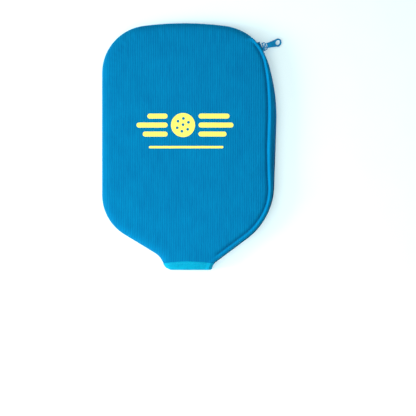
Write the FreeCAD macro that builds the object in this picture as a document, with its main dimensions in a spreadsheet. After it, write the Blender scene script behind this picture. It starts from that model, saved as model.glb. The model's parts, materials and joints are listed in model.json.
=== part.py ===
"""Paddle case: a zipped neoprene sleeve for a pickleball paddle, lying on its back.

Millimetres, +Z up, X across the case, -Y towards the mouth. The origin is the middle of
the flat back face, on the plane that the case rests on.
"""
import FreeCAD, Part
import math
import os

from FreeCAD import Placement, Rotation, Vector

DIMENSIONS = (
    # plan of the case: corners of the outline and the radius that rounds each one
    ("mouth_end", -160.0),
    ("mouth_overrun", -185.0),
    ("mouth_half_width", 31.0),
    ("neck_left_end", -145.5),
    ("neck_left_radius", 24.0),
    ("side_left", -111.4),
    ("shoulder_left_end", -96.7),
    ("shoulder_left_radius", 60.0),
    ("top_left_end", 150.8),
    ("top_left_radius", 62.0),
    ("apex_side", 0.0),
    ("apex_end", 162.6),
    ("apex_radius", 400.0),
    ("top_right_side", 93.0),
    ("top_right_end", 150.6),
    ("top_right_radius", 68.0),
    ("bulge_side", 116.7),
    ("bulge_end", 68.8),
    ("bulge_radius", 240.0),
    ("shoulder_right_side", 111.2),
    ("shoulder_right_end", -94.7),
    ("shoulder_right_radius", 88.0),
    ("neck_right_end", -154.7),
    ("neck_right_radius", 12.0),
    # levels above the resting plane
    ("back_face", 0.0),
    ("back_inside", 3.0),
    ("back_lined", 3.8),
    ("back_rim", 7.8),
    ("seam_level", 12.0),
    ("front_rim", 16.2),
    ("front_lined", 20.2),
    ("front_inside", 21.0),
    ("front_face", 24.0),
    ("over_all", 26.0),
    # cloth
    ("panel_thickness", 3.0),
    ("lining_thickness", 0.8),
    ("rim_radius", 8.0),
    ("rim_inner_radius", 5.0),
    ("rim_lined_radius", 4.2),
    ("flap_inset", 3.5),
    ("flap_rim_radius", 6.0),
    ("flap_inner_radius", 3.0),
    ("flap_lined_radius", 2.2),
    ("binding_thickness", 0.6),
    ("back_core_face", 0.6),
    ("front_core_face", 23.4),
    ("core_rim_radius", 7.4),
    ("flap_core_radius", 5.4),
    ("binding_wrap", 1.0),
    ("binding_centre", 11.0),
    ("binding_side", 6.6),
    ("seam_tape_thickness", 0.8),
    ("seam_tape_half_width", 4.0),
    # fold between the two ends of the opening
    ("fold_top_side", 80.0),
    ("fold_top_end", 141.0),
    ("fold_gap", 0.4),
    # zipper, as distances in from the outline and heights
    ("coil_outer", 1.4),
    ("tape_outer", 3.0),
    ("tape_inner", 3.6),
    ("flange_back_outer", 0.6),
    ("flange_front_inner", 8.4),
    ("tape_thickness", 0.6),
    ("coil_back_low", 9.6),
    ("coil_back_high", 11.0),
    ("coil_front_low", 13.0),
    ("coil_front_high", 14.4),
    ("track_overrun", 33.3),
    ("coil_overrun", 30.9),
    ("stop_length", 2.2),
    ("stop_clearance", 0.3),
    ("stop_tape_clearance", 0.15),
    # slider and pull
    ("slider_overrun", 25.3),
    ("slider_length", 10.8),
    ("slider_lead_width", 6.8),
    ("slider_trail_width", 5.6),
    ("plate_face", 1.2),
    ("plate_thickness", 1.5),
    ("inner_plate_face", -4.7),
    ("inner_plate_thickness", 1.3),
    ("plate_flange_depth", 1.3),
    ("plate_flange_thickness", 0.6),
    ("post_thickness", 1.0),
    ("post_length", 2.2),
    ("bridge_offset", 4.3),
    ("bridge_half_length", 4.8),
    ("bridge_bend", 1.4),
    ("bar_radius", 0.55),
    ("pull_droop", 22.5),
    ("pull_roll", 25.0),
    ("pull_end", 23.0),
    ("pull_ring_radius", 5.5),
    ("pull_ring_hole_width", 6.6),
    ("pull_ring_hole_length", 7.2),
    ("pull_root_half_width", 3.5),
    ("pull_waist_half_width", 3.4),
    ("pull_neck_half_width", 4.3),
    ("pull_shoulder", 4.5),
    ("pull_waist_start", 6.5),
    ("pull_yaw", -4.5),
    ("pull_eye_half_width", 2.55),
    ("pull_eye_back", 1.4),
    ("pull_eye_front", 1.9),
    ("pull_root_thickness", 1.0),
    ("pull_thickness", 1.7),
    # stitches and print
    ("stitch_length", 2.4),
    ("stitch_pitch", 3.4),
    ("stitch_width", 0.5),
    ("stitch_height", 0.3),
    ("topstitch_inset", 12.0),
    ("mouth_stitch_drop", 2.2),
    ("print_height", 0.15),
    ("print_disc_radius", 15.5),
    ("print_bar_height", 6.4),
    ("print_rule_height", 3.0),
)

doc = FreeCAD.newDocument("paddle_case")
sheet = doc.addObject("Spreadsheet::Sheet", "dims")
for row, (alias, value) in enumerate(DIMENSIONS, start=1):
    sheet.set(f"A{row}", alias)
    sheet.set(f"B{row}", str(value))
    sheet.setAlias(f"B{row}", alias)
doc.recompute()

SUB_PARTS = []


def size(alias):
    """A driving dimension, read from the sheet."""
    return float(sheet.get(alias))


def corner_list(*rows):
    """Corners as (point, radius) pairs from (x, y, radius) rows, clockwise seen from above."""
    return [(Vector(x, y, 0), radius) for x, y, radius in rows]


OUTLINE = corner_list(
    (-size("mouth_half_width"), size("mouth_overrun"), 0),
    (-size("mouth_half_width"), size("neck_left_end"), size("neck_left_radius")),
    (size("side_left"), size("shoulder_left_end"), size("shoulder_left_radius")),
    (size("side_left"), size("top_left_end"), size("top_left_radius")),
    (size("apex_side"), size("apex_end"), size("apex_radius")),
    (size("top_right_side"), size("top_right_end"), size("top_right_radius")),
    (size("bulge_side"), size("bulge_end"), size("bulge_radius")),
    (size("shoulder_right_side"), size("shoulder_right_end"), size("shoulder_right_radius")),
    (size("mouth_half_width"), size("neck_right_end"), size("neck_right_radius")),
    (size("mouth_half_width"), size("mouth_overrun"), 0),
)
BULGE = 6


def directions(corners):
    """Unit vector of the edge that leaves each corner."""
    points = [point for point, _ in corners]
    return [(points[(i + 1) % len(points)] - point).normalize() for i, point in enumerate(points)]


def right_of(direction):
    return Vector(direction.y, -direction.x, 0)


def inset_corners(corners, inset):
    """The same outline moved inwards, its round corners keeping their centres."""
    ways = directions(corners)
    moved = []
    for i, (point, radius) in enumerate(corners):
        before, after = ways[i - 1], ways[i]
        turn = before.x * after.y - before.y * after.x
        across = right_of(before) * inset
        shift = (right_of(after) * inset - across).dot(right_of(before)) / turn
        place = point + right_of(after) * inset + after * shift
        if radius:
            radius = radius + inset if turn > 0 else radius - inset
        moved.append((place, radius))
    return moved


def round_corner(point, before, after, radius):
    """Start, middle, end and centre of the arc that rounds one corner."""
    turn = before.x * after.y - before.y * after.x
    reach = radius * math.tan(before.getAngle(after) / 2)
    start = point - before * reach
    end = point + after * reach
    side = right_of(before) if turn < 0 else -right_of(before)
    centre = start + side * radius
    middle = centre + (point - centre).normalize() * radius
    return start, middle, end, centre


def outline_edges(corners):
    """Lines and tangent arcs of a closed outline, in order."""
    ways = directions(corners)
    edges = []
    ends = []
    for i, (point, radius) in enumerate(corners):
        if radius:
            start, middle, end, _ = round_corner(point, ways[i - 1], ways[i], radius)
            ends.append((start, end, Part.Arc(start, middle, end)))
        else:
            ends.append((point, point, None))
    for i, (_, end, arc) in enumerate(ends):
        if arc:
            edges.append(arc)
        following = ends[(i + 1) % len(ends)][0]
        if (following - end).Length > 1e-4:
            edges.append(Part.LineSegment(end, following))
    return edges


def origin_plane(body, role):
    return next(f for f in body.Origin.OriginFeatures if f.Role == role)


def sketch_on(body, name, role, level, geometry):
    """A sketch on one of the body's own planes, raised by an expression."""
    sketch = body.newObject("Sketcher::SketchObject", name)
    sketch.AttachmentSupport = [(origin_plane(body, role), "")]
    sketch.MapMode = "FlatFace"
    sketch.setExpression("AttachmentOffset.Base.z", level)
    sketch.addGeometry(geometry)
    return sketch


def prism(name, geometry, base, top, plane="XY_Plane"):
    """A Body with one sketch padded between two levels, given as expressions."""
    body = doc.addObject("PartDesign::Body", name)
    sketch = sketch_on(body, name + "_sketch", plane, base, geometry)
    pad = body.newObject("PartDesign::Pad", name + "_pad")
    pad.Profile = sketch
    pad.setExpression("Length", f"({top}) - ({base})")
    body.Tip = pad
    doc.recompute()
    return body


def cushion(name, inset, base, top, rim_level, rim_radius):
    """An outline prism whose rim at one level is rounded over."""
    body = prism(name, outline_edges(inset_corners(OUTLINE, inset)), base, top)
    level = size(rim_level.split(".")[1])
    pad = body.Tip
    rim = [
        f"Edge{i}"
        for i, edge in enumerate(pad.Shape.Edges, start=1)
        if abs(edge.BoundBox.ZMin - level) < 1e-6 and abs(edge.BoundBox.ZMax - level) < 1e-6
        and edge.CenterOfMass.y > size("mouth_overrun") + 1
    ]
    fillet = body.newObject("PartDesign::Fillet", name + "_rim")
    fillet.Base = (pad, rim)
    fillet.setExpression("Radius", rim_radius)
    body.Tip = fillet
    doc.recompute()
    return body


def cut(name, base, *tools):
    """Base without the tools, one Part::Cut for each."""
    for step, tool in enumerate(tools, start=1):
        result = doc.addObject("Part::Cut", name if step == len(tools) else f"{name}_{step}")
        result.Base = base
        result.Tool = tool
        base = result
    return base


def common(name, *shapes):
    result = doc.addObject("Part::MultiCommon", name)
    result.Shapes = list(shapes)
    return result


def fuse(name, *shapes):
    result = doc.addObject("Part::MultiFuse", name)
    result.Shapes = list(shapes)
    return result


def box(name, low, high):
    """A Part::Box between two corners whose coordinates are expressions or numbers."""
    result = doc.addObject("Part::Box", name)
    for axis, start, end, side in zip("xyz", low, high, ("Length", "Width", "Height")):
        result.setExpression(f"Placement.Base.{axis}", str(start))
        result.setExpression(side, f"({end}) - ({start})")
    return result


def sub_part(node, shape):
    """Names a finished sub-part; its Label is the name of its file."""
    shape.Label = node
    SUB_PARTS.append(shape)
    return shape


def polygon(*points):
    vectors = [Vector(x, y, 0) for x, y in points]
    return [Part.LineSegment(a, b) for a, b in zip(vectors, vectors[1:] + vectors[:1])]


# ---- the fold, the mouth and the zipper's side, as plain regions of space ----

FOLD_TOP = Vector(size("fold_top_side"), size("fold_top_end"), 0)
FOLD_MOUTH = Vector(-size("mouth_half_width"), size("mouth_end"), 0)
FOLD_WAY = (FOLD_TOP - FOLD_MOUTH).normalize()
FAR = 400.0


def fold_side(name, sign, low="dims.back_face - 1", high="dims.over_all"):
    """Everything past the mouth's plane on one side of the fold line; +1 is the zipper's side."""
    across = right_of(FOLD_WAY) * sign
    start = FOLD_MOUTH + across * size("fold_gap") / 2
    near = start - FOLD_WAY * FAR
    far = start + FOLD_WAY * FAR
    corners = [near, far, far + across * FAR, near + across * FAR]
    half = prism(name + "_half", polygon(*[(p.x, p.y) for p in corners]), low, high)
    past_mouth = box(name + "_past_mouth", (-FAR, "dims.mouth_end", low), (FAR, FAR, high))
    return common(name, half, past_mouth)


flap_space = fold_side("flap_space", 1)
fixed_space = fold_side("fixed_space", -1)
zipper_space = fold_side("zipper_space", 1, "dims.back_rim", "dims.over_all")
case_space = box("case_space", (-FAR, "dims.mouth_end", -1), (FAR, FAR, "dims.over_all"))

BULGE_WAYS = directions(OUTLINE)[BULGE - 1 : BULGE + 1]
BULGE_START, _, _, BULGE_CENTRE = round_corner(OUTLINE[BULGE][0], *BULGE_WAYS, OUTLINE[BULGE][1])


def bulge_angle(overrun):
    """Angle about the bulge's centre of a point that far past the bulge's upper end."""
    start = math.atan2(BULGE_START.y - BULGE_CENTRE.y, BULGE_START.x - BULGE_CENTRE.x)
    return start + overrun / size("bulge_radius")


def bulge_point(overrun, inset=0.0):
    angle = bulge_angle(overrun)
    reach = size("bulge_radius") - inset
    return BULGE_CENTRE + Vector(math.cos(angle), math.sin(angle), 0) * reach


def track_corners():
    """The outline that the zipper follows: the bulge runs on past the corner it leaves."""
    top_angle = bulge_angle(size("track_overrun") + 5)
    tangent = Vector(-math.sin(top_angle), math.cos(top_angle), 0)
    top = bulge_point(size("track_overrun") + 5)
    away = directions(OUTLINE)[BULGE]
    lower_angle = math.atan2(away.x, -away.y)
    half = (top_angle - lower_angle) / 2
    reach = size("bulge_radius") / math.cos(half)
    mid_angle = (top_angle + lower_angle) / 2
    peak = BULGE_CENTRE + Vector(math.cos(mid_angle), math.sin(mid_angle), 0) * reach
    crest = top + tangent * 60
    return (
        [OUTLINE[0], (Vector(OUTLINE[0][0].x, crest.y, 0), 0), (crest, 0)]
        + [(peak, size("bulge_radius"))]
        + OUTLINE[BULGE + 1 :]
    )


TRACK = track_corners()


def track_ring(name, outer, inner, base, top):
    """A band along the zipper's track between two distances in from the outline."""
    outside = prism(name + "_outside", outline_edges(inset_corners(TRACK, outer)), base, top)
    inside = prism(name + "_inside", outline_edges(inset_corners(TRACK, inner)), base, top)
    return cut(name + "_ring", outside, inside)


def beyond(name, overrun):
    """Space past a point of the track, square to it, where the zipper has ended."""
    near = bulge_point(overrun, 40)
    far = bulge_point(overrun, -60)
    angle = bulge_angle(overrun)
    onward = Vector(-math.sin(angle), math.cos(angle), 0) * 120
    corners = [near, far, far + onward, near + onward]
    return prism(name, polygon(*[(p.x, p.y) for p in corners]), "dims.back_face - 1", "dims.over_all")


zipper_side = box("zipper_side", (5, "dims.mouth_end", -1), (FAR, FAR, "dims.over_all"))
past_track = beyond("past_track", size("track_overrun"))
past_coil = beyond("past_coil", size("coil_overrun"))
stop_end = "dims.mouth_end + dims.stop_length + dims.stop_clearance"
mouth_clearance = box("mouth_clearance", (-FAR, -FAR, -1), (FAR, stop_end, "dims.over_all"))

# ---- panels and linings ----

back_outer = cushion("back_outer", 0, "dims.back_face", "dims.seam_level", "dims.back_face", "dims.rim_radius")
back_hollow = cushion(
    "back_hollow", size("panel_thickness"),
    "dims.back_inside", "dims.seam_level", "dims.back_inside", "dims.rim_inner_radius",
)
LINED = size("panel_thickness") + size("lining_thickness")
back_room = cushion(
    "back_room", LINED, "dims.back_lined", "dims.seam_level", "dims.back_lined", "dims.rim_lined_radius"
)
front_outer = cushion(
    "front_outer", 0, "dims.seam_level", "dims.front_face", "dims.front_face", "dims.rim_radius"
)
front_hollow = cushion(
    "front_hollow", size("panel_thickness"),
    "dims.seam_level", "dims.front_inside", "dims.front_inside", "dims.rim_inner_radius",
)
front_room = cushion(
    "front_room", LINED, "dims.seam_level", "dims.front_lined", "dims.front_lined", "dims.rim_lined_radius"
)
flap_outer = cushion(
    "flap_outer", size("flap_inset"),
    "dims.front_rim", "dims.front_face", "dims.front_face", "dims.flap_rim_radius",
)
flap_hollow = cushion(
    "flap_hollow", size("flap_inset") + size("panel_thickness"),
    "dims.front_rim", "dims.front_inside", "dims.front_inside", "dims.flap_inner_radius",
)
flap_room = cushion(
    "flap_room", size("flap_inset") + LINED,
    "dims.front_rim", "dims.front_lined", "dims.front_lined", "dims.flap_lined_radius",
)


def binding_zone():
    """Space of the mouth binding: its inner edge is a shallow arch."""
    end = size("mouth_end")
    half = size("mouth_half_width") + 12
    side = end + size("binding_side")
    crown = end + size("binding_centre")
    arch = Part.Arc(Vector(-half, side, 0), Vector(0, crown, 0), Vector(half, side, 0))
    sides = [
        Part.LineSegment(Vector(half, side, 0), Vector(half, end, 0)),
        Part.LineSegment(Vector(half, end, 0), Vector(-half, end, 0)),
        Part.LineSegment(Vector(-half, end, 0), Vector(-half, side, 0)),
    ]
    return prism("binding_zone", [arch] + sides, "dims.back_face - 1", "dims.over_all")


binding_space = binding_zone()
THIN = size("binding_thickness")
back_core = cushion(
    "back_core", THIN, "dims.back_core_face", "dims.seam_level", "dims.back_core_face", "dims.core_rim_radius"
)
front_core = cushion(
    "front_core", THIN, "dims.seam_level", "dims.front_core_face", "dims.front_core_face", "dims.core_rim_radius"
)
flap_core = cushion(
    "flap_core", size("flap_inset") + THIN,
    "dims.front_rim", "dims.front_core_face", "dims.front_core_face", "dims.flap_core_radius",
)
wrap_space = box(
    "wrap_space", (-FAR, "dims.mouth_end", -1), (FAR, "dims.mouth_end + dims.binding_wrap", "dims.over_all")
)


def mouth_band(name, outer, core, room, space):
    """Binding over the end of a panel: a skin on its outside that wraps the end and the lining."""
    skin = cut(name + "_skin", outer, core)
    face = common(name + "_face", skin, binding_space, space)
    shell = cut(name + "_shell", outer, room)
    wrap = common(name + "_wrap", shell, wrap_space, space)
    return fuse(name + "_whole", face, wrap)


band_back = mouth_band("band_back", back_outer, back_core, back_room, case_space)
band_back_cut = cut("band_back_trimmed", band_back, zipper_space)
sub_part("mouth_band_back", band_back_cut)
band_flap = mouth_band("band_flap", flap_outer, flap_core, flap_room, flap_space)
sub_part("mouth_band_flap", band_flap)
band_fixed = mouth_band("band_fixed", front_outer, front_core, front_room, fixed_space)
sub_part("mouth_band_fixed", band_fixed)


def panel(name, outer, hollow, band, *trims):
    """A neoprene panel: the outer form less its hollow and the binding that wraps its end."""
    shell = common(name + "_shell", cut(name + "_walls", outer, hollow), trims[0])
    return sub_part(name, cut(name + "_trimmed", shell, band, *trims[1:]))


panel("back_panel", back_outer, back_hollow, band_back_cut, case_space, zipper_space)
panel("front_panel", front_outer, front_hollow, band_fixed, fixed_space)
panel("flap_panel", flap_outer, flap_hollow, band_flap, flap_space)
panel("back_lining", back_hollow, back_room, band_back_cut, case_space, zipper_space)
panel("front_lining", front_hollow, front_room, band_fixed, fixed_space)
panel("flap_lining", flap_hollow, flap_room, band_flap, flap_space)

# ---- seam tape over the joined seam, inside the left side and the top ----

tape_low = "dims.seam_level - dims.seam_tape_half_width"
tape_high = "dims.seam_level + dims.seam_tape_half_width"
seam_outside = prism("seam_outside", outline_edges(inset_corners(OUTLINE, LINED)), tape_low, tape_high)
seam_inside = prism(
    "seam_inside", outline_edges(inset_corners(OUTLINE, LINED + size("seam_tape_thickness"))), tape_low, tape_high
)
wrap_clear = box(
    "wrap_clear", (-FAR, "dims.mouth_end + dims.binding_wrap", -1), (FAR, FAR, "dims.over_all")
)
sub_part("seam_tape", common("seam_tape_side", cut("seam_ring", seam_outside, seam_inside), fixed_space, wrap_clear))

# ---- zipper tapes, coils and stops ----


def zipper_row(name, space, band_low, band_high, flange_low, flange_high, flange_outer, flange_inner):
    """One tape of the zipper: an upright band beside the coil and a flange sewn to the panel."""
    upright = track_ring(name + "_upright", size("tape_outer"), size("tape_inner"), band_low, band_high)
    flange = track_ring(name + "_flange", flange_outer, flange_inner, flange_low, flange_high)
    whole = fuse(name + "_joined", upright, flange)
    return sub_part(name, cut(name + "_end", common(name + "_side", whole, space, zipper_side), past_track))


zipper_row(
    "zipper_tape_back", flap_space,
    "dims.back_rim", "dims.coil_back_high", "dims.back_rim", "dims.back_rim + dims.tape_thickness",
    size("flange_back_outer"), size("tape_inner"),
)
zipper_row(
    "zipper_tape_front", flap_space,
    "dims.coil_front_low", "dims.front_rim", "dims.front_rim - dims.tape_thickness", "dims.front_rim",
    size("tape_outer"), size("flange_front_inner"),
)


def coil(name, low, high):
    ring = track_ring(name, size("coil_outer"), size("tape_outer"), low, high)
    run = common(name + "_run", ring, flap_space, zipper_side)
    return sub_part(name, cut(name + "_ends", run, past_coil, mouth_clearance))


coil("zipper_coil_back", "dims.coil_back_low", "dims.coil_back_high")
coil("zipper_coil_front", "dims.coil_front_low", "dims.coil_front_high")


stop_space = box(
    "stop_space", (5, "dims.mouth_end", -1), (FAR, "dims.mouth_end + dims.stop_length", "dims.over_all")
)


def mouth_stop(name, low, high):
    """A moulded stop on a coil's last turns, at the mouth."""
    ring = track_ring(name, size("coil_outer"), size("tape_outer") - size("stop_tape_clearance"), low, high)
    return sub_part(name, common(name + "_end", ring, stop_space))


mouth_stop("mouth_stop_back", "dims.coil_back_low", "dims.coil_back_high")
mouth_stop("mouth_stop_front", "dims.coil_front_low", "dims.coil_front_high")


def at_track(overrun, level):
    """Placement on the track: local X points out of the case, local Y up along the track."""
    place = bulge_point(overrun)
    return Placement(
        Vector(place.x, place.y, level), Rotation(Vector(0, 0, 1), math.degrees(bulge_angle(overrun)))
    )


top_stop = doc.addObject("Part::Box", "top_stop")
top_stop.setExpression("Length", "dims.tape_outer - dims.coil_outer")
top_stop.setExpression("Width", "dims.track_overrun - dims.coil_overrun - dims.stop_clearance")
top_stop.setExpression("Height", "dims.coil_front_high - dims.coil_back_low")
top_stop.Placement = at_track(size("coil_overrun") + size("stop_clearance"), size("coil_back_low")).multiply(
    Placement(Vector(-size("tape_outer"), 0, 0), Rotation())
)
sub_part("zipper_top_stop", top_stop)

# ---- slider: two plates joined by a post, a bridge on the outer plate, and the pull ----


def plate_outline():
    """Kite of a slider plate in its own plane: wide where the coils part, narrow behind."""
    half = size("slider_length") / 2
    lead = size("slider_lead_width") / 2
    trail = size("slider_trail_width") / 2
    nose = lead - 1.0
    points = [(-nose, -half), (-lead, -half + 1.6), (-trail, half - 1.2), (-trail + 1.0, half)]
    mirrored = [(-x, y) for x, y in reversed(points)]
    return polygon(*[(y, x) for x, y in points + mirrored])


def plate(name, face, thickness):
    """A slider plate: its sketch stands on the YZ plane and is padded outwards."""
    return prism(name, plate_outline(), face, f"({face}) + ({thickness})", plane="YZ_Plane")


outer_plate = plate("outer_plate", "dims.plate_face - dims.plate_thickness", "dims.plate_thickness")
inner_plate = plate(
    "inner_plate", "dims.inner_plate_face - dims.inner_plate_thickness", "dims.inner_plate_thickness"
)
post = box(
    "slider_post",
    ("dims.inner_plate_face", "-dims.slider_length / 2 + 0.3", "-dims.post_thickness / 2"),
    (
        "dims.plate_face - dims.plate_thickness",
        "-dims.slider_length / 2 + 0.3 + dims.post_length",
        "dims.post_thickness / 2",
    ),
)
flanges = []
for side, sign in (("upper", 1), ("lower", -1)):
    near = f"{sign} * dims.slider_trail_width / 2"
    wide = f"{sign} * (dims.slider_trail_width / 2 - 0.01) + {sign} * dims.plate_flange_thickness"
    low, high = (near, wide) if sign > 0 else (wide, near)
    flanges.append(
        box(
            f"flange_{side}",
            ("dims.plate_face - dims.plate_thickness - dims.plate_flange_depth", "-dims.slider_length / 2 + 1.6", low),
            ("dims.plate_face - dims.plate_thickness", "dims.slider_length / 2 - 6", high),
        )
    )
slider = fuse("slider_whole", outer_plate, inner_plate, post, *flanges)
SLIDER_PLACE = at_track(size("slider_overrun"), size("seam_level"))
slider.Placement = SLIDER_PLACE
sub_part("slider_body", slider)


def bridge_path():
    """Line of the bridge in the slider's own XY plane: out, along the track and back in."""
    foot = size("plate_face")
    reach = size("bridge_offset")
    half = size("bridge_half_length")
    bend = size("bridge_bend")
    slack = bend * (1 - math.cos(math.pi / 4))
    lower = Vector(reach - slack, -half + slack, 0)
    upper = Vector(reach - slack, half - slack, 0)
    return [
        Part.LineSegment(Vector(foot, -half, 0), Vector(reach - bend, -half, 0)),
        Part.Arc(Vector(reach - bend, -half, 0), lower, Vector(reach, -half + bend, 0)),
        Part.LineSegment(Vector(reach, -half + bend, 0), Vector(reach, half - bend, 0)),
        Part.Arc(Vector(reach, half - bend, 0), upper, Vector(reach - bend, half, 0)),
        Part.LineSegment(Vector(reach - bend, half, 0), Vector(foot, half, 0)),
    ]


path = doc.addObject("Sketcher::SketchObject", "bridge_path")
path.addGeometry(bridge_path())
profile = doc.addObject("Sketcher::SketchObject", "bridge_profile")
profile.addGeometry(Part.Circle(Vector(-size("bridge_half_length"), 0, 0), Vector(0, 0, 1), size("bar_radius")))
profile.Placement = Placement(
    Vector(size("plate_face"), 0, 0), Rotation(Vector(0, 1, 0), Vector(0, 0, 1), Vector(1, 0, 0), "ZXY")
)
bridge = doc.addObject("Part::Sweep", "bridge_sweep")
bridge.Sections = [profile]
bridge.Spine = (path, [f"Edge{i}" for i in range(1, 6)])
bridge.Solid = True
bridge.Frenet = False
bridge.Placement = SLIDER_PLACE
sub_part("slider_bridge", bridge)


def pull_outline():
    """Outline of the pull: an eye at the root, a waisted shank and a round ring head."""
    root = size("pull_root_half_width")
    waist = size("pull_waist_half_width")
    back = -size("pull_eye_back") - 1.0
    ring = size("pull_ring_radius")
    centre = size("pull_end") - ring
    broad = size("pull_neck_half_width")
    neck = centre - math.sqrt(ring ** 2 - broad ** 2)
    shoulder = size("pull_shoulder")
    waist_start = size("pull_waist_start")
    return [
        Part.LineSegment(Vector(back, root - 1.0, 0), Vector(back + 1.0, root, 0)),
        Part.LineSegment(Vector(back + 1.0, root, 0), Vector(shoulder, root, 0)),
        Part.LineSegment(Vector(shoulder, root, 0), Vector(waist_start, waist, 0)),
        Part.LineSegment(Vector(waist_start, waist, 0), Vector(neck, broad, 0)),
        Part.Arc(Vector(neck, broad, 0), Vector(size("pull_end"), 0, 0), Vector(neck, -broad, 0)),
        Part.LineSegment(Vector(neck, -broad, 0), Vector(waist_start, -waist, 0)),
        Part.LineSegment(Vector(waist_start, -waist, 0), Vector(shoulder, -root, 0)),
        Part.LineSegment(Vector(shoulder, -root, 0), Vector(back + 1.0, -root, 0)),
        Part.LineSegment(Vector(back + 1.0, -root, 0), Vector(back, -root + 1.0, 0)),
        Part.LineSegment(Vector(back, -root + 1.0, 0), Vector(back, root - 1.0, 0)),
    ]


blank = prism("pull_blank", pull_outline(), "-dims.pull_thickness / 2", "dims.pull_thickness / 2")
eye = box(
    "pull_eye",
    ("-dims.pull_eye_back", "-dims.pull_eye_half_width", -2),
    ("dims.pull_eye_front", "dims.pull_eye_half_width", 2),
)
thin_root_top = box("pull_thin_top", (-4, -6, "dims.pull_root_thickness / 2"), (3.6, 6, 2))
thin_root_under = box("pull_thin_under", (-4, -6, -2), (3.6, 6, "-dims.pull_root_thickness / 2"))
ring_hole = doc.addObject("PartDesign::Body", "pull_ring_hole")
hole_sketch = sketch_on(
    ring_hole, "pull_ring_hole_sketch", "XY_Plane", "-2",
    Part.Ellipse(
        Vector(size("pull_end") - size("pull_ring_radius"), 0, 0),
        size("pull_ring_hole_length") / 2, size("pull_ring_hole_width") / 2,
    ),
)
hole_pad = ring_hole.newObject("PartDesign::Pad", "pull_ring_hole_pad")
hole_pad.Profile = hole_sketch
hole_pad.Length = 4
ring_hole.Tip = hole_pad
pull = cut("pull_cut", blank, eye, thin_root_top, thin_root_under, ring_hole)
pull_turn = (
    Rotation(Vector(0, 0, 1), size("pull_yaw"))
    .multiply(Rotation(Vector(0, 1, 0), size("pull_droop")))
    .multiply(Rotation(Vector(1, 0, 0), size("pull_roll")))
)
pull.Placement = SLIDER_PLACE.multiply(Placement(Vector(size("bridge_offset"), 0, 0), pull_turn))
sub_part("slider_pull", pull)

# ---- stitches: short separate solids along a line ----


def stitch_boxes(wire, level):
    """Stitches as thin bars along a wire, each turned to follow it."""
    pitch = size("stitch_pitch")
    count = int(wire.Length // pitch)
    points = wire.discretize(Number=2 * count + 1)
    long, wide, high = size("stitch_length"), size("stitch_width"), size("stitch_height")
    bars = []
    for before, after in zip(points[0::2], points[2::2]):
        way = (after - before).normalize()
        bar = Part.makeBox(long, wide, high, Vector(-long / 2, -wide / 2, 0))
        turn = Rotation(Vector(1, 0, 0), way)
        middle = (before + after) * 0.5
        bar.Placement = Placement(Vector(middle.x, middle.y, level), turn)
        bars.append(bar)
    return Part.Compound(bars)


def stitches(node, wire, level):
    feature = doc.addObject("Part::Feature", node)
    feature.Shape = stitch_boxes(wire, level)
    return sub_part(node, feature)


def open_run(corners, keep):
    """Edges of an outline whose middle lies where keep says, joined into one wire."""
    shapes = [edge.toShape() for edge in outline_edges(corners)]
    return Part.Wire([shape for shape in shapes if keep(shape.CenterOfMass)])


def past_fold(point):
    return (point - FOLD_MOUTH).dot(right_of(FOLD_WAY)) > 12


ditch = open_run(inset_corners(OUTLINE, size("topstitch_inset")), lambda c: past_fold(c) and c.y > -125)
stitches("topstitch_flap", ditch, size("front_face"))
drop = size("mouth_stitch_drop")
mouth_arc = Part.Arc(
    Vector(-20, size("mouth_end") + size("binding_centre") - drop - 0.9, 0),
    Vector(0, size("mouth_end") + size("binding_centre") - drop, 0),
    Vector(20, size("mouth_end") + size("binding_centre") - drop - 0.9, 0),
)
stitches("mouth_stitching", Part.Wire([mouth_arc.toShape()]), size("front_face"))

# ---- print: a ball between bars of different length, over a plain rule ----


def bar_shape(start, end, level_y, height):
    """A flat bar with round ends."""
    radius = height / 2
    left = Vector(start + radius, level_y, 0)
    right = Vector(end - radius, level_y, 0)
    up = Vector(0, radius, 0)
    out = Vector(radius, 0, 0)
    return [
        Part.LineSegment(left + up, right + up),
        Part.Arc(right + up, right + out, right - up),
        Part.LineSegment(right - up, left - up),
        Part.Arc(left - up, left - out, left + up),
    ]


BALL = Vector(-6, 27, 0)
BALL_HOLES = ((-6.5, 5), (0.5, 8.5), (7, 3.5), (-7.5, -3.5), (0, 0.5), (-1.5, -8), (6, -5.5))
ROWS = (38.6, 27.0, 15.4)
LEFT_STARTS = (-52, -66, -58)
FIXED_ENDS = (33, 31, 27)
FLAP_BARS = ((46, 54, 0), (42, 59, 1), (37, 50, 2))


def print_part(node, bars, ball):
    """Raised ink: bars, and the ball with its holes, as one node of separate solids."""
    solids = [
        prism(f"{node}_bar_{i}", bar_shape(start, end, y, height),
              "dims.front_face", "dims.front_face + dims.print_height")
        for i, (start, end, y, height) in enumerate(bars)
    ]
    if ball:
        disc = prism(
            node + "_disc", [Part.Circle(BALL, Vector(0, 0, 1), size("print_disc_radius"))],
            "dims.front_face", "dims.front_face + dims.print_height",
        )
        holes = [
            prism(
                f"{node}_hole_{i}", [Part.Circle(BALL + Vector(x, y, 0), Vector(0, 0, 1), 1.9)],
                "dims.front_face - 1", "dims.over_all",
            )
            for i, (x, y) in enumerate(BALL_HOLES)
        ]
        solids.append(cut(node + "_ball", disc, *holes))
    return sub_part(node, fuse(node + "_all", *solids))


thick = size("print_bar_height")
fixed_bars = [(start, -26, ROWS[i], thick) for i, start in enumerate(LEFT_STARTS)]
fixed_bars += [(14, end, ROWS[i], thick) for i, end in enumerate(FIXED_ENDS)]
fixed_bars.append((-50, 25, -1.5, size("print_rule_height")))
print_part("front_print", fixed_bars, True)
flap_bars = [(start, end, ROWS[i], thick) for start, end, i in FLAP_BARS]
flap_bars.append((32, 46, -1.5, size("print_rule_height")))
print_part("flap_print", flap_bars, False)

# ---- check everything, then write one file for each sub-part ----

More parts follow.
